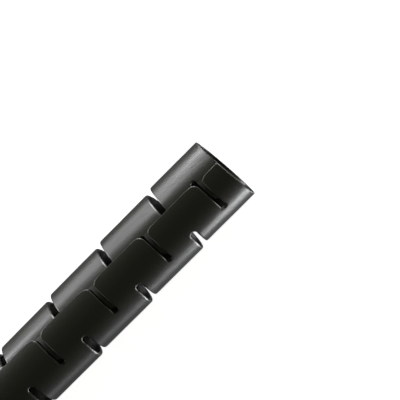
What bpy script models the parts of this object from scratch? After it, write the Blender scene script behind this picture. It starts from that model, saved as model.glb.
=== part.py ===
"""Split cable sleeve: one plastic tube, slit along a slowly turning seam and cut from both lips into fingers.

Lengths are in millimetres and angles in degrees until a point is placed, which turns it into metres.
The sleeve is drawn flat first, as girth angle against distance from the cut end, and then rolled up.
Girth angle grows from the tips of the outer fingers, round the back of the tube, to the tips of the inner lip.
"""

import math

import bpy
from mathutils import Vector
from mathutils.geometry import delaunay_2d_cdt

# The sleeve as a whole
LENGTH = 1000.0
OUTER_DIAMETER = 25.0
WALL = 1.2
LIP_GAP = 0.3
FACETS = 20

# How the pattern repeats along the tube
PITCH = 24.0
SEAM_TURN = 6.25
FIRST_FINGER_SLOT = 9.0
FIRST_RIB_SLOT = 22.2
END_LAND = 3.0

# The slots run slightly askew: they drift away from the shown end, first over a short stretch and then all the way
NEAR_DRIFT = 0.8
NEAR_DRIFT_START_ANGLE = 34.0
NEAR_DRIFT_END_ANGLE = 100.0
LONG_DRIFT = 0.8
SQUARE_END = 6.0

# The lips: where they end and how the inner one dives under the outer one
FINGER_TIP_ANGLE = -12.9
LIP_OVERLAP = 55.0
DIVE_START_BEFORE_TIP = 72.0
DIVE_END_BEFORE_TIP = 22.0
FINGER_CORNER_RADIUS = 2.4
FINGER_CORNER_STEPS = 2

# The slots that come in from the outer lip, and those that come in from the inner one
FINGER_SLOT_WIDTH = 1.95
FINGER_SLOT_END_ANGLE = 49.0
RIB_SLOT_WIDTH = 2.4
RIB_SLOT_END_ANGLE = 39.4
SLOT_END_STEPS = 3

# The short slots in the inner lip, under the finger slots, and how far round they reach past the finger tips
LIP_SLOT_WIDTH = 2.1
LIP_SLOT_REACH = 4.0

MM = 0.001
OUTER_RADIUS = OUTER_DIAMETER / 2.0
MM_PER_DEGREE = math.radians(1.0) * OUTER_RADIUS
FACET_ANGLE = 360.0 / FACETS
RIB_TIP_ANGLE = FINGER_TIP_ANGLE + 360.0 + LIP_OVERLAP
MERGE_DISTANCE = 0.02


def clear_scene():
    """Remove whatever the file starts with."""
    for item in list(bpy.data.objects):
        bpy.data.objects.remove(item, do_unlink=True)


def black_plastic():
    """The one material: satin black polypropylene."""
    material = bpy.data.materials.new("black_plastic")
    material.use_nodes = True
    shader = material.node_tree.nodes["Principled BSDF"]
    shader.inputs["Base Color"].default_value = (0.012, 0.012, 0.011, 1.0)
    shader.inputs["Roughness"].default_value = 0.42
    return material


def slot_centres(first, width):
    """Distances of every slot that leaves a sound strip of wall before the far cut end."""
    last = LENGTH - END_LAND - width / 2.0
    count = int((last - first) // PITCH) + 1
    return [first + PITCH * index for index in range(count)]


def arc(centre, radius, start, end, steps):
    """Flat points on an arc, both ends included, with angles in degrees."""
    points = []
    for index in range(steps + 1):
        angle = math.radians(start + (end - start) * index / steps)
        points.append((centre[0] + radius * math.cos(angle), centre[1] + radius * math.sin(angle)))
    return points


def finger_slot(centre, tip, end):
    """Flat points of a slot between two outer fingers, whose tips have round corners."""
    half = FINGER_SLOT_WIDTH / 2.0
    radius = FINGER_CORNER_RADIUS
    points = arc((tip + radius, centre - half - radius), radius, 180.0, 90.0, FINGER_CORNER_STEPS)
    points += arc((end - half, centre), half, -90.0, 90.0, SLOT_END_STEPS)
    points += arc((tip + radius, centre + half + radius), radius, 270.0, 180.0, FINGER_CORNER_STEPS)
    return points


def rib_slot(centre, width, tip, end):
    """Flat points of a slot that comes in from the inner lip, whose square mouth the fingers hide."""
    half = width / 2.0
    points = [(tip, centre + half)]
    points += arc((end + half, centre), half, 90.0, 270.0, SLOT_END_STEPS)
    points.append((tip, centre - half))
    return points


def flat_outline():
    """The whole sleeve unrolled, as one closed loop of (girth in mm, distance in mm)."""
    finger_tip = FINGER_TIP_ANGLE * MM_PER_DEGREE
    finger_end = FINGER_SLOT_END_ANGLE * MM_PER_DEGREE
    rib_tip = RIB_TIP_ANGLE * MM_PER_DEGREE
    rib_end = RIB_SLOT_END_ANGLE * MM_PER_DEGREE
    lip_end = (FINGER_TIP_ANGLE + 360.0 - LIP_SLOT_REACH) * MM_PER_DEGREE
    finger_centres = slot_centres(FIRST_FINGER_SLOT, FINGER_SLOT_WIDTH)
    rib_slots = [(centre, RIB_SLOT_WIDTH, rib_end) for centre in slot_centres(FIRST_RIB_SLOT, RIB_SLOT_WIDTH)]
    rib_slots += [(centre, LIP_SLOT_WIDTH, lip_end) for centre in finger_centres]
    points = [(finger_tip, 0.0)]
    for centre in finger_centres:
        points += finger_slot(centre, finger_tip, finger_end)
    points += [(finger_tip, LENGTH), (rib_tip, LENGTH)]
    for centre, width, end in sorted(rib_slots, reverse=True):
        points += rib_slot(centre, width, rib_tip, end)
    points.append((rib_tip, 0.0))
    return points


def turned(point):
    """Shift a flat point round the tube by the slow turn of the seam."""
    girth, distance = point
    return (girth - SEAM_TURN * MM_PER_DEGREE * distance / PITCH, distance)


def fold_lines(points):
    """Girths, in mm, at which the rolled tube folds from one flat facet to the next."""
    step = FACET_ANGLE * MM_PER_DEGREE
    low = min(point[0] for point in points)
    high = max(point[0] for point in points)
    first = math.ceil(low / step - 0.5)
    last = math.floor(high / step - 0.5)
    return [(index + 0.5) * step for index in range(first, last + 1)]


def snapped(points, folds):
    """Move a point that almost touches a fold line onto it, so that no sliver is cut beside it."""
    result = []
    for girth, distance in points:
        nearest = min(folds, key=lambda fold: abs(fold - girth))
        if abs(nearest - girth) < MERGE_DISTANCE:
            girth = nearest
        result.append((girth, distance))
    return result


def flat_triangles():
    """Triangles of the unrolled sleeve, split along every fold line."""
    points = [turned(point) for point in reversed(flat_outline())]
    folds = fold_lines(points)
    points = snapped(points, folds)
    count = len(points)
    coordinates = [Vector(point) for point in points]
    edges = []
    for fold in folds:
        edges.append((len(coordinates), len(coordinates) + 1))
        coordinates.append(Vector((fold, -PITCH)))
        coordinates.append(Vector((fold, LENGTH + PITCH)))
    made = delaunay_2d_cdt(coordinates, edges, [list(range(count))], 0, 0.001)
    inside = [tuple(face) for face, source in zip(made[2], made[5]) if source]
    used = sorted({corner for face in inside for corner in face})
    renumbered = {corner: index for index, corner in enumerate(used)}
    corners = [(made[0][corner][0], made[0][corner][1]) for corner in used]
    return corners, [tuple(renumbered[corner] for corner in face) for face in inside]


def share_between(low, high, value):
    """How far a value lies from low to high, held between 0 and 1."""
    return min(max((value - low) / (high - low), 0.0), 1.0)


def soft_step(low, high, value):
    """The same share, but with a soft start and end."""
    share = share_between(low, high, value)
    return share * share * (3.0 - 2.0 * share)


def lip_drop(girth_angle):
    """How far the wall has sunk inward at a girth angle, so that the inner lip clears the outer one."""
    finger_tip = FINGER_TIP_ANGLE + 360.0
    start = finger_tip - DIVE_START_BEFORE_TIP
    end = finger_tip - DIVE_END_BEFORE_TIP
    return (WALL + LIP_GAP) * soft_step(start, end, girth_angle)


def slot_drift(girth_angle, distance):
    """How far the slots and the wall between them have drifted along the tube, with both cut ends left square."""
    drift = NEAR_DRIFT * soft_step(NEAR_DRIFT_START_ANGLE, NEAR_DRIFT_END_ANGLE, girth_angle)
    drift += LONG_DRIFT * share_between(RIB_SLOT_END_ANGLE, RIB_TIP_ANGLE, girth_angle)
    return drift * share_between(0.0, SQUARE_END, min(distance, LENGTH - distance))


def rolled(point, depth):
    """Place a flat point on the faceted tube, depth millimetres in from the outside."""
    turned_girth, distance = point
    angle = turned_girth / MM_PER_DEGREE
    girth_angle = angle + SEAM_TURN * distance / PITCH
    facet_middle = FACET_ANGLE * round(angle / FACET_ANGLE)
    flat = OUTER_RADIUS - lip_drop(girth_angle) - depth
    radius = flat / math.cos(math.radians(angle - facet_middle))
    x = LENGTH / 2.0 - distance - slot_drift(girth_angle, distance)
    y = -radius * math.sin(math.radians(angle))
    z = OUTER_RADIUS + radius * math.cos(math.radians(angle))
    return (x * MM, y * MM, z * MM)


def rim_edges(faces):
    """Edges that only one triangle uses, in the direction that this triangle walks them."""
    seen = {}
    for face in faces:
        for index in range(3):
            edge = (face[index], face[(index + 1) % 3])
            seen[edge] = True
    return [edge for edge in seen if (edge[1], edge[0]) not in seen]


def build_sleeve(material):
    """Roll the flat pattern up and give it its wall thickness, as one closed solid."""
    corners, faces = flat_triangles()
    count = len(corners)
    vertices = [rolled(corner, 0.0) for corner in corners]
    vertices += [rolled(corner, WALL) for corner in corners]
    solid = [(a, c, b) for a, b, c in faces]
    solid += [(a + count, b + count, c + count) for a, b, c in faces]
    for a, b in rim_edges(faces):
        solid.append((a, b, b + count))
        solid.append((a, b + count, a + count))
    mesh = bpy.data.meshes.new("wrap_sleeve")
    mesh.from_pydata(vertices, [], solid)
    mesh.materials.append(material)
    mesh.validate()
    sleeve = bpy.data.objects.new("wrap_sleeve", mesh)
    bpy.context.collection.objects.link(sleeve)
    return sleeve


clear_scene()
build_sleeve(black_plastic())
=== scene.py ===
# %% [markdown]
# # A split cable sleeve, dressed for the camera
#
# The object is one metre of black plastic cable wrap. It is a single extruded wall, rolled into a tube,
# whose two long lips overlap. Slots punched in from either lip in turn leave short outer fingers on one
# side and long ribs on the other, so the tube opens like a zip to let cables in.
#
# The measured solid comes from the CAD model. This notebook replaces its flat facets with the finely
# rounded wall, gives the wall its plastic, and sets up the studio.

import math

import bpy
import numpy as np
from mathutils import Matrix, Quaternion, Vector
from mathutils.geometry import delaunay_2d_cdt


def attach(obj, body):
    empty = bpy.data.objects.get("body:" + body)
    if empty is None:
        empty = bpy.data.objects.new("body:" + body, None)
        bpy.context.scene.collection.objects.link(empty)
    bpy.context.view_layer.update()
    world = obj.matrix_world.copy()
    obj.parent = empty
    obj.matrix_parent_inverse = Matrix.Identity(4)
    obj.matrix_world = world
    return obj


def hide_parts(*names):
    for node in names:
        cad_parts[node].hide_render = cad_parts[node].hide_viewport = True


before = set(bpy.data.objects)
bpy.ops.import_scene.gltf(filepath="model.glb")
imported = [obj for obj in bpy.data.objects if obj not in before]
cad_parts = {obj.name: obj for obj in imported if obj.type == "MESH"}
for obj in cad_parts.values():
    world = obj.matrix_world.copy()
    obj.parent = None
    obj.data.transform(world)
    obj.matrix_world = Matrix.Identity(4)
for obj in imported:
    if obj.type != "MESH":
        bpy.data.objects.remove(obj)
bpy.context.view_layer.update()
print("nodes in the model:", sorted(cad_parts))

# %% [markdown]
# ## Writing shader maths as sums
#
# A procedural finish is arithmetic on numbers that change over the surface. Wiring Math nodes by hand
# hides that arithmetic, so a small class wraps one socket and lets the sum be written as Python. Every
# other kind of node comes from a single method, which takes the node's type, its settings and what goes
# into its sockets.


# %% A socket that can be added, subtracted and multiplied
class Value:
    """One number that varies over the surface, held by the socket that gives it."""

    def __init__(self, finish, socket):
        self.finish = finish
        self.socket = socket

    def combined(self, operation, first, second):
        return self.finish.node("ShaderNodeMath", {"operation": operation}, {0: first, 1: second})[0]

    def __add__(self, other):
        return self.combined("ADD", self, other)

    __radd__ = __add__

    def __sub__(self, other):
        return self.combined("SUBTRACT", self, other)

    def __mul__(self, other):
        return self.combined("MULTIPLY", self, other)


# %% A material with one way to add a node
class Finish:
    """A node material that is built by calls, from the texture to the shader."""

    def __init__(self, name):
        self.material = bpy.data.materials.new(name)
        self.material.use_nodes = True
        self.tree = self.material.node_tree
        self.shader = self.tree.nodes["Principled BSDF"]

    def node(self, kind, settings=None, inputs=None):
        """Add a node: settings first, then a value or a link for each socket. Returns its outputs."""
        made = self.tree.nodes.new(kind)
        for name, setting in (settings or {}).items():
            setattr(made, name, setting)
        for key, given in (inputs or {}).items():
            self.feed(made.inputs[key], given)
        return [Value(self, socket) for socket in made.outputs]

    def feed(self, socket, given):
        """Link a Value to a socket, or set the socket's own number."""
        if isinstance(given, Value):
            self.tree.links.new(given.socket, socket)
        else:
            socket.default_value = given


print("shader helpers ready")

# %% [markdown]
# ## The camera
#
# The picture looks down on the sleeve from about 0.6 m with a long lens, so the tube hardly narrows
# with distance. Its open end points to the upper right. The camera leans a few degrees towards that
# end, which is why the far inside of the mouth shows above the near rim. Place, aim and lens were
# solved from the slot ends in the photograph.

# %% Place the camera
CAMERA_PLACE = Vector((0.552935, -0.001296, 0.587009))
CAMERA_RIGHT = Vector((0.682117, -0.726947, -0.079148)).normalized()
CAMERA_FORWARD = Vector((-0.115628, -0.000350, -0.993293)).normalized()
SENSOR_MM = 36.0
FOCAL_PIXELS = 1800.0
PICTURE_PIXELS = 400.0
NEAREST_SHOWN = 0.05


def place_camera():
    """A perspective camera set by where it stands and its own right and forward directions."""
    data = bpy.data.cameras.new("studio_camera")
    data.sensor_width = SENSOR_MM
    data.lens = FOCAL_PIXELS / PICTURE_PIXELS * SENSOR_MM
    data.clip_start = NEAREST_SHOWN
    camera = bpy.data.objects.new("studio_camera", data)
    up = CAMERA_RIGHT.cross(CAMERA_FORWARD).normalized()
    axes = Matrix((CAMERA_RIGHT, up, -CAMERA_FORWARD)).transposed().to_4x4()
    camera.matrix_world = Matrix.Translation(CAMERA_PLACE) @ axes
    bpy.context.scene.collection.objects.link(camera)
    bpy.context.scene.camera = camera
    return camera


camera = place_camera()
print("lens in mm:", round(camera.data.lens, 1))

# %% [markdown]
# ## Floor and light
#
# Black plastic shows only what it mirrors. The photograph has a dark front and two long soft
# highlights, one low down each flank, and its background is pure white. A white floor next to black
# plastic would be mirrored in its sides and turn them grey. So the floor glows by itself and is kept
# out of mirror images, and it lets light through from below, the way a product is often lit on a glass
# table. Two long soft panels on each side, about level with the sleeve or lower, draw the highlights:
# the near ones are the stronger, because the photograph's highlights fade with distance. Two small ones
# near the left corners light the ends of the ribs, and one at either end catches the edges. A dim sky
# fills the rest. It is a warmer grey overhead than at the sides, and darker behind the far end.

# %% The floor and the wall behind it
FLOOR_RADIUS = 14.0
WALL_HEIGHT = 7.0
WALL_SIDES = 48
FLOOR_COLOUR = (0.93, 0.93, 0.93, 1.0)
FLOOR_ROUGHNESS = 0.9
GLOW_COLOUR = (1.0, 1.0, 1.0, 1.0)
FLOOR_GLOW = 0.85


def make_studio():
    """A round pale floor with a wall round it, as one sheet."""
    mesh = bpy.data.meshes.new("studio_floor")
    turns = [2.0 * math.pi * index / WALL_SIDES for index in range(WALL_SIDES)]
    ring = [(FLOOR_RADIUS * math.cos(turn), FLOOR_RADIUS * math.sin(turn)) for turn in turns]
    corners = [(x, y, 0.0) for x, y in ring] + [(x, y, WALL_HEIGHT) for x, y in ring]
    faces = [tuple(range(WALL_SIDES))]
    for index in range(WALL_SIDES):
        after = (index + 1) % WALL_SIDES
        faces.append((index, after, after + WALL_SIDES, index + WALL_SIDES))
    mesh.from_pydata(corners, [], faces)
    floor = bpy.data.objects.new("studio_floor", mesh)
    bpy.context.scene.collection.objects.link(floor)
    finish = Finish("floor_white")
    finish.shader.inputs["Base Color"].default_value = FLOOR_COLOUR
    finish.shader.inputs["Roughness"].default_value = FLOOR_ROUGHNESS
    finish.shader.inputs["Specular IOR Level"].default_value = 0.0
    finish.shader.inputs["Emission Color"].default_value = GLOW_COLOUR
    finish.shader.inputs["Emission Strength"].default_value = FLOOR_GLOW
    mesh.materials.append(finish.material)
    floor.visible_glossy = False
    floor.visible_diffuse = False
    floor.visible_shadow = False


make_studio()
print("floor radius in metres:", FLOOR_RADIUS)

# %% The lights
PANELS = [
    # name, place, aim, length along the sleeve, height, slant in degrees, power in watts
    ("left_far_panel", (0.20, 0.50, -0.075), (0.20, 0.0, 0.0125), 0.44, 0.12, 0.0, 1.02),
    ("left_near_panel", (0.66, 0.50, 0.062), (0.66, 0.0, 0.0125), 0.40, 0.08, 0.0, 5.3),
    ("corner_panel", (0.74, 0.36, -0.06), (0.48, 0.0, 0.0125), 0.14, 0.10, 0.0, 1.2),
    ("back_corner_panel", (0.22, 0.36, -0.06), (0.44, 0.0, 0.0125), 0.16, 0.10, 0.0, 1.0),
    ("right_near_panel", (0.68, -0.45, -0.165), (0.50, 0.0, 0.0125), 0.55, 0.12, -6.0, 6.4),
    ("right_far_panel", (0.22, -0.45, -0.15), (0.40, 0.0, 0.0125), 0.36, 0.10, 0.0, 0.2),
    ("end_panel", (1.15, 0.05, 0.10), (0.5, 0.0, 0.0125), 0.5, 0.3, 0.0, 1.0),
    ("back_panel", (-0.5, 0.10, 0.22), (0.45, 0.0, 0.0125), 0.6, 0.3, 0.0, 2.5),
]
PANEL_COLOUR = (0.98, 1.0, 1.01)
# The sky's strength from below to overhead, its share behind the far end and its two tints, each with
# the stretch of direction over which it changes
GROUND, SKY = 0.18, 0.22
SKY_RISE = (-0.1, 0.9)
BACK_SHARE = 0.5
BACK_RISE = (-0.30, -0.05)
SIDE_COLOUR = (0.95, 1.0, 1.07, 1.0)
OVERHEAD_COLOUR = (1.0, 1.01, 0.81, 1.0)
TINT_RISE = (-0.1, 0.5)


def make_panel(name, place, aim, width, height, slant, power):
    """A soft rectangular light that faces a point, turned by a slant about its own facing direction."""
    data = bpy.data.lights.new(name, "AREA")
    data.shape = "RECTANGLE"
    data.size = width
    data.size_y = height
    data.energy = power
    data.color = PANEL_COLOUR
    panel = bpy.data.objects.new(name, data)
    panel.location = place
    facing = (Vector(aim) - Vector(place)).to_track_quat("-Z", "Y")
    panel.rotation_euler = (facing @ Quaternion((0.0, 0.0, 1.0), math.radians(slant))).to_euler()
    panel.visible_camera = False
    bpy.context.scene.collection.objects.link(panel)


for row in PANELS:
    make_panel(*row)
world = bpy.data.worlds.new("dim_sky")
world.use_nodes = True
tree = world.node_tree
background = tree.nodes["Background"]
direction = tree.nodes.new("ShaderNodeTexCoord")
parts = tree.nodes.new("ShaderNodeSeparateXYZ")
tree.links.new(direction.outputs["Generated"], parts.inputs["Vector"])


def ramp(axis, low, high, at_low, at_high):
    """A number that changes evenly along one axis of the sky, from one direction to another."""
    made = tree.nodes.new("ShaderNodeMapRange")
    made.inputs["From Min"].default_value = low
    made.inputs["From Max"].default_value = high
    made.inputs["To Min"].default_value = at_low
    made.inputs["To Max"].default_value = at_high
    tree.links.new(parts.outputs[axis], made.inputs["Value"])
    return made.outputs["Result"]


product = tree.nodes.new("ShaderNodeMath")
product.operation = "MULTIPLY"
tree.links.new(ramp("Z", *SKY_RISE, GROUND, SKY), product.inputs[0])
tree.links.new(ramp("X", *BACK_RISE, BACK_SHARE, 1.0), product.inputs[1])
tree.links.new(product.outputs["Value"], background.inputs["Strength"])
tint = tree.nodes.new("ShaderNodeMix")
tint.data_type = "RGBA"
tint.inputs[6].default_value = SIDE_COLOUR
tint.inputs[7].default_value = OVERHEAD_COLOUR
tree.links.new(ramp("Z", *TINT_RISE, 0.0, 1.0), tint.inputs[0])
tree.links.new(tint.outputs[2], background.inputs["Color"])
bpy.context.scene.world = world
bpy.context.scene.view_settings.view_transform = "Standard"
bpy.context.scene.view_settings.look = "None"
print("panels:", [row[0] for row in PANELS])

# %% [markdown]
# ## The wall drawn flat
#
# On the real object the wall is extruded as a slit tube and its slots are punched afterwards. The
# easiest way to describe that is to unroll the tube: one direction is the girth, measured round the
# tube from the tips of the outer fingers to the tips of the inner lip, and the other is the distance
# from the open end. All slots are then simple shapes on a long flat sheet. A boolean per slot would
# also work, but it leaves ragged edges that can't be rounded.
#
# Lengths here are in millimetres and angles in degrees.

# %% Sizes of the sleeve
MM_PER_METRE = 1000.0
LENGTH = 1000.0
OUTER_RADIUS = 12.5
WALL = 1.2
LIP_GAP = 0.3
PITCH = 24.0
SEAM_TURN = 6.25
FINGER_TIP = -12.9
LIP_OVERLAP = 55.0
RIB_TIP = FINGER_TIP + 360.0 + LIP_OVERLAP
DIVE_BEFORE_TIP = (72.0, 22.0)
DIVE = [FINGER_TIP + 360.0 - before for before in DIVE_BEFORE_TIP]
MM_PER_DEGREE = math.radians(1.0) * OUTER_RADIUS
END_LAND = 3.0
FIRST_FINGER_SLOT = 9.0
FINGER_SLOT_WIDTH = 1.95
FIRST_RIB_SLOT = 22.2
RIB_SLOT_WIDTH = 2.4


def centres(first, width):
    """Distances of all slots of one kind, up to a sound strip at the far end."""
    count = int((LENGTH - END_LAND - width / 2.0 - first) // PITCH) + 1
    return [first + PITCH * index for index in range(count)]


FINGER_SLOTS = centres(FIRST_FINGER_SLOT, FINGER_SLOT_WIDTH)
RIB_SLOTS = centres(FIRST_RIB_SLOT, RIB_SLOT_WIDTH)
print("slots between fingers and between ribs:", len(FINGER_SLOTS), len(RIB_SLOTS))

# %% [markdown]
# A slot has three kinds of edge: a mouth with round corners at the lip, two straight sides, and a round
# end a little wider than the slot, which keeps the plastic from tearing there. The same function draws
# it for any inset, with the same number of points each time, so that later the rim can be rounded by
# joining loops point to point.


# %% One slot
FINGER_END = 49.0
RIB_END = 39.4
FINGER_DEPTH = (FINGER_END - FINGER_TIP) * MM_PER_DEGREE
RIB_DEPTH = (RIB_TIP - RIB_END) * MM_PER_DEGREE
# Half the width, radii of the round end and the mouth's corners, steps for corner, side and round end
FINGER_SHAPE = (FINGER_SLOT_WIDTH / 2.0, 1.12, 2.4, (6, 9, 12))
RIB_SHAPE = (RIB_SLOT_WIDTH / 2.0, 1.25, 0.8, (2, 58, 10))


def arc(x, y, radius, start, end, steps):
    """Points on an arc, both ends included."""
    angles = np.radians(np.linspace(start, end, steps + 1))
    return [(x + radius * math.cos(a), y + radius * math.sin(a)) for a in angles]


def between(first, last, steps):
    """Points that divide a straight run, without its two ends."""
    shares = [index / steps for index in range(1, steps)]
    across, along = last[0] - first[0], last[1] - first[1]
    return [(first[0] + across * share, first[1] + along * share) for share in shares]


def slot(depth, half, bulb, corner, steps, inset):
    """A slot from its mouth at x = 0 to x = depth, walked from -y to +y with the wall outside it."""
    corner_steps, side_steps, bulb_steps = steps
    meeting = math.degrees(math.asin(min(1.0, (half + inset) / (bulb + inset))))
    near = arc(corner, -half - corner, corner - inset, 180.0, 90.0, corner_steps)
    end = arc(depth - bulb, 0.0, bulb + inset, meeting - 180.0, 180.0 - meeting, bulb_steps)
    far = arc(corner, half + corner, corner - inset, 270.0, 180.0, corner_steps)
    way_in = between(near[-1], end[0], side_steps)
    way_out = between(end[-1], far[0], side_steps)
    return near + way_in + end + way_out + far


print("points in one finger slot:", len(slot(FINGER_DEPTH, *FINGER_SHAPE, 0.0)))

# %% [markdown]
# There are three kinds of slot: those between fingers, those between ribs, and short ones in the inner
# lip right under the finger slots. They differ only in numbers: how deep they run, how wide they are,
# how big their round end is and how large the corners at their mouth are. The short ones end now just
# past the finger tips, now just under them, as the lips slide over each other. Walking down one lip and
# back up the other joins all of them into one closed loop round the whole sheet. Its edges aren't all
# equally soft, so each kind takes an inset of its own.

# %% The outline of the sheet
LIP_HALF = 1.05
LIP_ROUND_END = 1.1
LIP_STEPS = (4, 9, 8)
TIP_LINE_STEPS = 8
LIP_LINE_STEPS = 4
CUT_STEPS = 66
random = np.random.default_rng(7)
# The photograph shows the first few short slots, and the others are drawn at random
SEEN_REACH = [9.0, 1.5, -3.0, -3.0]
SEEN_CORNERS = [5.5, 3.0, 1.2, 1.2]
SEEN_SHIFTS = [0.0, 0.15, 0.3, 0.3]
LATER_SLOTS = len(FINGER_SLOTS) - len(SEEN_REACH)
LIP_REACH = SEEN_REACH + list(random.uniform(-5.0, 4.0, LATER_SLOTS))
LIP_CORNERS = SEEN_CORNERS + list(random.uniform(1.0, 2.4, LATER_SLOTS))
LIP_SHIFTS = SEEN_SHIFTS + list(random.uniform(0.1, 0.4, LATER_SLOTS))
LIP_DEPTHS = [(RIB_TIP - FINGER_TIP - 360.0 + reach) * MM_PER_DEGREE for reach in LIP_REACH]


def outline(lip_inset, finger_inset, rib_inset):
    """The sheet's edge, moved inward, as a closed loop of (girth, distance) in millimetres."""
    finger_tip = FINGER_TIP * MM_PER_DEGREE
    rib_tip = RIB_TIP * MM_PER_DEGREE
    points = [(finger_tip + lip_inset, lip_inset)]
    for centre in FINGER_SLOTS:
        shape = slot(FINGER_DEPTH, *FINGER_SHAPE, finger_inset)
        shape = [(finger_tip + x, centre + y) for x, y in shape]
        run = between(points[-1], shape[0], TIP_LINE_STEPS)
        points += [(finger_tip + lip_inset, y) for x, y in run] + shape
    corner = (finger_tip + lip_inset, LENGTH - lip_inset)
    run = between(points[-1], corner, TIP_LINE_STEPS)
    points += [(finger_tip + lip_inset, y) for x, y in run] + [corner]
    corner = (rib_tip - lip_inset, LENGTH - lip_inset)
    points += between(points[-1], corner, CUT_STEPS) + [corner]
    kinds = [(centre, RIB_DEPTH, *RIB_SHAPE, rib_inset) for centre in RIB_SLOTS]
    for centre, shift, corner, depth in zip(FINGER_SLOTS, LIP_SHIFTS, LIP_CORNERS, LIP_DEPTHS):
        kinds.append((centre + shift, depth, LIP_HALF, LIP_ROUND_END, corner, LIP_STEPS, lip_inset))
    for centre, *numbers in sorted(kinds, reverse=True):
        shape = [(rib_tip - x, centre - y) for x, y in slot(*numbers)]
        points += between(points[-1], shape[0], LIP_LINE_STEPS) + shape
    corner = (rib_tip - lip_inset, lip_inset)
    points += between(points[-1], corner, LIP_LINE_STEPS) + [corner]
    points += between(corner, points[0], CUT_STEPS)
    return np.array(points)


edge = outline(0.0, 0.0, 0.0)
print("points round the sheet:", len(edge))

# %% [markdown]
# ## Rolling the sheet up
#
# Rolling is a formula: girth becomes an angle and distance becomes a place along the tube. Six small
# effects make it a real sleeve and not a drawing of one. The seam turns slowly round the tube. The
# inner lip dives one wall thickness to pass under the fingers. The slots drift along the tube as they
# go round it. Each rib leans a fraction of a millimetre sideways from slot to slot, which gives the
# stepped outline in the photograph. The shown end was cut off by hand, a few degrees out of square. And
# every finger tip springs up by its own small amount.

# %% The rolling formula
NEAR_DRIFT = 0.8
NEAR_DRIFT_BAND = (34.0, 100.0)
LONG_DRIFT = 0.8
FINGER_ROOT = 42.0
RIB_ROOT_BAND = (44.0, 86.0)
LEAN = 0.030
FINGER_STRAIGHTENING = 0.4
SQUARE_END = 6.0
TOP_SLANT = 0.50
RIGHT_SLANT = 0.53
CUT_SLANT = math.hypot(TOP_SLANT, RIGHT_SLANT)
SLANT_REACH = 7.0
FINGER_LIFT = random.uniform(0.02, 0.22, len(FINGER_SLOTS) + 1)


def smooth(low, high, value):
    """A soft step from 0 to 1."""
    share = np.clip((value - low) / (high - low), 0.0, 1.0)
    return share * share * (3.0 - 2.0 * share)


def band_middles(slots):
    """For each strip between slots, its middle distance."""
    stops = [slots[0] - PITCH] + list(slots) + [slots[-1] + PITCH]
    return np.array([(a + b) / 2.0 for a, b in zip(stops[:-1], stops[1:])])


FINGER_MIDDLES = band_middles(FINGER_SLOTS)
RIB_MIDDLES = band_middles(RIB_SLOTS)


def drift(girth_angle, distance):
    """How far the slots have strayed along the tube, in millimetres, with both cut ends left square."""
    strayed = NEAR_DRIFT * smooth(*NEAR_DRIFT_BAND, girth_angle)
    strayed += LONG_DRIFT * np.clip((girth_angle - RIB_END) / (RIB_TIP - RIB_END), 0.0, 1.0)
    return strayed * np.clip(np.minimum(distance, LENGTH - distance) / SQUARE_END, 0.0, 1.0)


def cut_slant(turn, distance):
    """How far the shown end falls short of a square cut, in mm: most on the left and underneath."""
    short = CUT_SLANT - TOP_SLANT * np.cos(turn) - RIGHT_SLANT * np.sin(turn)
    return short * (1.0 - np.clip(distance / SLANT_REACH, 0.0, 1.0))


def roll(girth, distance, depth):
    """Place points of the sheet in the room, in metres. All three are arrays, in millimetres."""
    girth_angle = girth / MM_PER_DEGREE
    finger = np.searchsorted(FINGER_SLOTS, distance)
    rib = np.searchsorted(RIB_SLOTS, distance)
    on_finger = 1.0 - smooth(FINGER_TIP, FINGER_ROOT, girth_angle)
    on_rib = smooth(*RIB_ROOT_BAND, girth_angle)
    from_middle = distance - FINGER_MIDDLES[finger]
    angle = girth_angle - SEAM_TURN / PITCH * (distance - FINGER_STRAIGHTENING * on_finger * from_middle)
    turn = np.radians(angle)
    lift = FINGER_LIFT[finger] * on_finger**2 * (1.0 + np.cos(turn)) / 2.0
    radius = OUTER_RADIUS - depth - (WALL + LIP_GAP) * smooth(*DIVE, girth_angle) + lift
    lean = LEAN * (distance - RIB_MIDDLES[rib]) * on_rib
    x = LENGTH / 2.0 - distance - drift(girth_angle, distance) - cut_slant(turn, distance)
    y = -radius * np.sin(turn) + lean
    z = OUTER_RADIUS + radius * np.cos(turn)
    return np.stack([x, y, z], axis=-1) / MM_PER_METRE


print("open end at x =", roll(np.zeros(1), np.zeros(1), np.zeros(1))[0, 0])

# %% [markdown]
# ## The rim
#
# A punched edge is never perfectly sharp. The thin bright lines round the fingers in the photograph are
# its small rounding catching the light, so it has to be real geometry. The rim is a stack of loops:
# each is the outline at another inset and depth, and together they walk round the edge of the wall from
# the outside to the inside. The lips and cut ends are the sharpest, the slots between fingers are
# softer and those between ribs are the softest.
#
# Which points belong to which kind is found by a probe: only one kind of edge is moved, and the points
# that follow are its own.

# %% Loops round the edge of the wall
ROUND_WIDTHS = (0.16, 0.36, 0.55)
ROUND_DEPTHS = (0.16, 0.32, 0.32)
INNER_ROUND = 0.12
OUTER_TILTS = (0.0, 22.0, 45.0, 68.0, 90.0)
INNER_TILTS = (0.0, 45.0, 90.0)
PROBE = 0.5
SMALL_INSET = 0.2
round_width = np.full(len(edge), ROUND_WIDTHS[0])
round_depth = np.full(len(edge), ROUND_DEPTHS[0])
for kind, probe in ((1, (0.0, PROBE, 0.0)), (2, (0.0, 0.0, PROBE))):
    moved = np.linalg.norm(outline(*probe) - edge, axis=1) > PROBE / 2.0
    round_width[moved] = ROUND_WIDTHS[kind]
    round_depth[moved] = ROUND_DEPTHS[kind]
loops = []
depths = []
tilts = []
for tilt in np.radians(OUTER_TILTS):
    loops.append(outline(*[width * (1.0 - math.sin(tilt)) for width in ROUND_WIDTHS]))
    depths.append(round_depth * (1.0 - math.cos(tilt)))
    tilts.append(np.arctan2(round_depth / round_width * math.sin(tilt), math.cos(tilt)))
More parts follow.
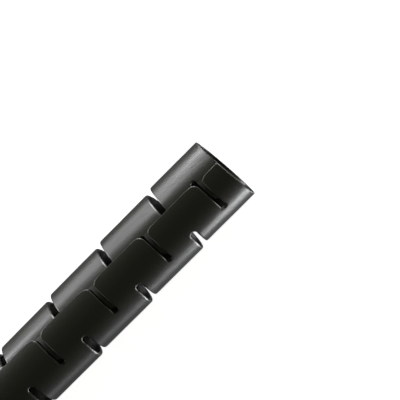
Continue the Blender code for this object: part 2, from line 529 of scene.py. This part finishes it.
for tilt in np.radians(INNER_TILTS):
    in_by = INNER_ROUND * (1.0 - math.cos(tilt))
    loops.append(outline(in_by, in_by, in_by))
    depths.append(np.full(len(edge), WALL - INNER_ROUND * (1.0 - math.sin(tilt))))
    tilts.append(np.full(len(edge), math.pi / 2.0 + tilt))
outward = edge - outline(SMALL_INSET, SMALL_INSET, SMALL_INSET)
outward /= np.linalg.norm(outward, axis=1, keepdims=True)
print("loops in the rim:", len(loops), "points in each:", len(edge))

# %% [markdown]
# ## Skins and normals
#
# The outer and inner skins fill the first and last loop. Scattering a few inner points and asking for a
# constrained Delaunay triangulation fills them without touching the edge points. Because the rolling
# formula is known, the surface direction at every point can be worked out from it too. Handing Blender
# those exact normals makes a coarse mesh shade like a perfectly smooth tube.

# %% Fill a skin
COLUMN_DEGREES = 6.0
LAST_COLUMN_DEGREES = 4.0
ROW_MM = 5.0
SKIN_CLEARANCE = 0.8
WIDEST_HALF = 1.3
# Girth angles up to which, or from which, a column of points meets slots of each kind
FINGER_BAND_END = 52.0
RIB_BAND_START = 36.0
LIP_BAND_START = FINGER_TIP + 360.0 - 12.0
MERGE_MM = 1e-4


def clear_rows(slots, half):
    """Distances inside each strip between slots where a row of points may lie."""
    stops = [-half] + list(slots) + [LENGTH + half]
    rows = []
    for low, high in zip(stops[:-1], stops[1:]):
        low += half + SKIN_CLEARANCE
        high -= half + SKIN_CLEARANCE
        count = max(1, int((high - low) / ROW_MM))
        step = (high - low) / (count + 1)
        rows += list(np.linspace(low + step, high - step, count))
    return rows


def inner_points():
    """Points inside the sheet, well clear of every slot."""
    points = []
    first, last = FINGER_TIP + COLUMN_DEGREES, RIB_TIP - LAST_COLUMN_DEGREES
    for girth_angle in np.arange(first, last, COLUMN_DEGREES):
        in_finger = girth_angle < FINGER_BAND_END
        in_lip = girth_angle > LIP_BAND_START
        slots = []
        slots += FINGER_SLOTS if in_finger or in_lip else []
        slots += RIB_SLOTS if girth_angle > RIB_BAND_START else []
        points += [(girth_angle * MM_PER_DEGREE, row) for row in clear_rows(sorted(slots), WIDEST_HALF)]
    return points


def fill(loop, extra):
    """Triangles of a closed loop with extra points inside it, all counter-clockwise on the sheet."""
    ring = [Vector(point) for point in reversed(loop.tolist())]
    count = len(ring)
    points = ring + [Vector(point) for point in extra]
    made = delaunay_2d_cdt(points, [], [list(range(count))], 0, MERGE_MM)
    faces, point_sources, face_sources = made[2], made[3], made[5]
    order = {index: sources[0] for index, sources in enumerate(point_sources) if sources}
    inside = [face for face, source in zip(faces, face_sources) if source]
    triangles = np.array([[order[corner] for corner in face] for face in inside])
    ring_part = triangles < count
    triangles[ring_part] = count - 1 - triangles[ring_part]
    return triangles


extra = inner_points()
outer_skin = fill(loops[0], extra)
inner_skin = fill(loops[-1], extra)
print("triangles in the two skins:", len(outer_skin), len(inner_skin))

# %% Exact surface directions
STEP = 0.01


def directions(points, level):
    """Along-girth, along-length and outward unit directions of the rolled wall at each sheet point."""
    girth, distance = points[:, 0], points[:, 1]
    round_tube = roll(girth + STEP, distance, level) - roll(girth - STEP, distance, level)
    along_tube = roll(girth, distance + STEP, level) - roll(girth, distance - STEP, level)
    out = np.cross(along_tube, round_tube)
    return [part / np.linalg.norm(part, axis=1, keepdims=True) for part in (round_tube, along_tube, out)]


def rim_normals(points, level, tilt):
    """Normals of one rim loop, tilted from the wall's outside to its edge and then to its inside."""
    round_tube, along_tube, out = directions(points, level)
    sideways = round_tube * outward[:, :1] + along_tube * outward[:, 1:]
    return np.cos(tilt)[:, None] * out + np.sin(tilt)[:, None] * sideways


sample = directions(edge[:1], np.zeros(1))[2][0]
print("outward direction at the first point:", np.round(sample, 3))

# %% Join rim and skins into one mesh
count = len(edge)
spare = np.array(extra)
places = []
normals = []
flat = []
for loop, level, tilt in zip(loops, depths, tilts):
    places.append(roll(loop[:, 0], loop[:, 1], level))
    normals.append(rim_normals(loop, level, tilt))
    flat.append(np.column_stack([loop, level]))
for depth, sign in ((0.0, 1.0), (WALL, -1.0)):
    level = np.full(len(spare), depth)
    places.append(roll(spare[:, 0], spare[:, 1], level))
    normals.append(sign * directions(spare, level)[2])
    flat.append(np.column_stack([spare, level]))
last = count * (len(loops) - 1)
first_spare = count * len(loops)
to_outer = first_spare - count
to_inner = first_spare - count + len(spare)
faces = [np.where(outer_skin < count, outer_skin, outer_skin + to_outer)[:, ::-1]]
faces.append(np.where(inner_skin < count, inner_skin + last, inner_skin + to_inner))
here = np.arange(count)
after = (here + 1) % count
for level in range(len(loops) - 1):
    base, below = level * count, (level + 1) * count
    faces.append(np.column_stack([base + here, below + here, below + after]))
    faces.append(np.column_stack([base + here, below + after, base + after]))
places, normals, flat, faces = (np.concatenate(part) for part in (places, normals, flat, faces))
print("vertices:", len(places), "triangles:", len(faces))

# %% Make the sleeve
mesh = bpy.data.meshes.new("sleeve_wall")
mesh.from_pydata(places.tolist(), [], faces.tolist())
mesh.shade_smooth()
mesh.normals_split_custom_set_from_vertices(normals.tolist())
sheet = mesh.attributes.new("sheet", "FLOAT_VECTOR", "POINT")
sheet.data.foreach_set("vector", (flat / MM_PER_METRE).ravel())
sleeve = bpy.data.objects.new("sleeve", mesh)
bpy.context.scene.collection.objects.link(sleeve)
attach(sleeve, "root")
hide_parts("wrap_sleeve")
print("sleeve size in mm:", [round(side * MM_PER_METRE, 2) for side in sleeve.dimensions])

# %% [markdown]
# ## The plastic
#
# The real wall is black polypropylene with a satin skin. Close up, its highlight is not clean: a fine
# grain breaks it, and the gloss drifts a little from place to place. The grain is a bump, and both are
# in the roughness. The cut faces of the slots are duller than the skin, and so is the inner lip where
# the fingers rub on it. The sheet's own coordinates tell where these are: depth in the wall for the
# cuts, and girth for the lip. All of it is procedural, measured in metres.

# %% The black plastic
PLASTIC_BLACK = (0.0078, 0.0080, 0.0045, 1.0)
PLASTIC_IOR = 1.49
GRAIN = {"Scale": 2000.0, "Detail": 0.5}
GRAIN_HEIGHT = 0.000022
GLOSS = {"Scale": 90.0, "Detail": 3.0}
# Where the finish changes: two depths in the wall and one girth, each as a narrow band
SKIN_ENDS = (0.0003, 0.0004)
INSIDE_STARTS = (0.0010, 0.0011)
RUBBED_STARTS = (0.0755, 0.0765)
# Roughness of the bare skin, and what each effect adds to it
SKIN_ROUGHNESS = 0.25
GLOSS_SHARE, GRAIN_SHARE, RUBBED_SHARE, CUT_SHARE = 0.03, 0.15, 0.3, 0.35
plastic = Finish("black_satin_plastic")
place = plastic.node("ShaderNodeTexCoord")[3]
sheet_place = plastic.node("ShaderNodeAttribute", {"attribute_name": "sheet"})[1]
girth, _, depth = plastic.node("ShaderNodeSeparateXYZ", {}, {0: sheet_place})


def past(value, band):
    """0 before the band, 1 after it, and rising evenly in between."""
    inputs = {"Value": value, "From Min": band[0], "From Max": band[1]}
    return plastic.node("ShaderNodeMapRange", {}, inputs)[0]


grain = plastic.node("ShaderNodeTexNoise", {}, {"Vector": place, **GRAIN})[0]
gloss = plastic.node("ShaderNodeTexNoise", {}, {"Vector": place, **GLOSS})[0]
cut = past(depth, SKIN_ENDS) - past(depth, INSIDE_STARTS)
rubbed = past(girth, RUBBED_STARTS)
relief = {"Strength": 1.0, "Distance": GRAIN_HEIGHT, "Height": grain}
bump = plastic.node("ShaderNodeBump", {}, relief)[0]
roughness = SKIN_ROUGHNESS + gloss * GLOSS_SHARE + grain * GRAIN_SHARE
roughness = roughness + rubbed * RUBBED_SHARE + cut * CUT_SHARE
plastic.feed(plastic.shader.inputs["Base Color"], PLASTIC_BLACK)
plastic.feed(plastic.shader.inputs["Roughness"], roughness)
plastic.feed(plastic.shader.inputs["Normal"], bump)
plastic.shader.inputs["IOR"].default_value = PLASTIC_IOR
mesh.materials.append(plastic.material)
print("nodes in the plastic:", len(plastic.tree.nodes))
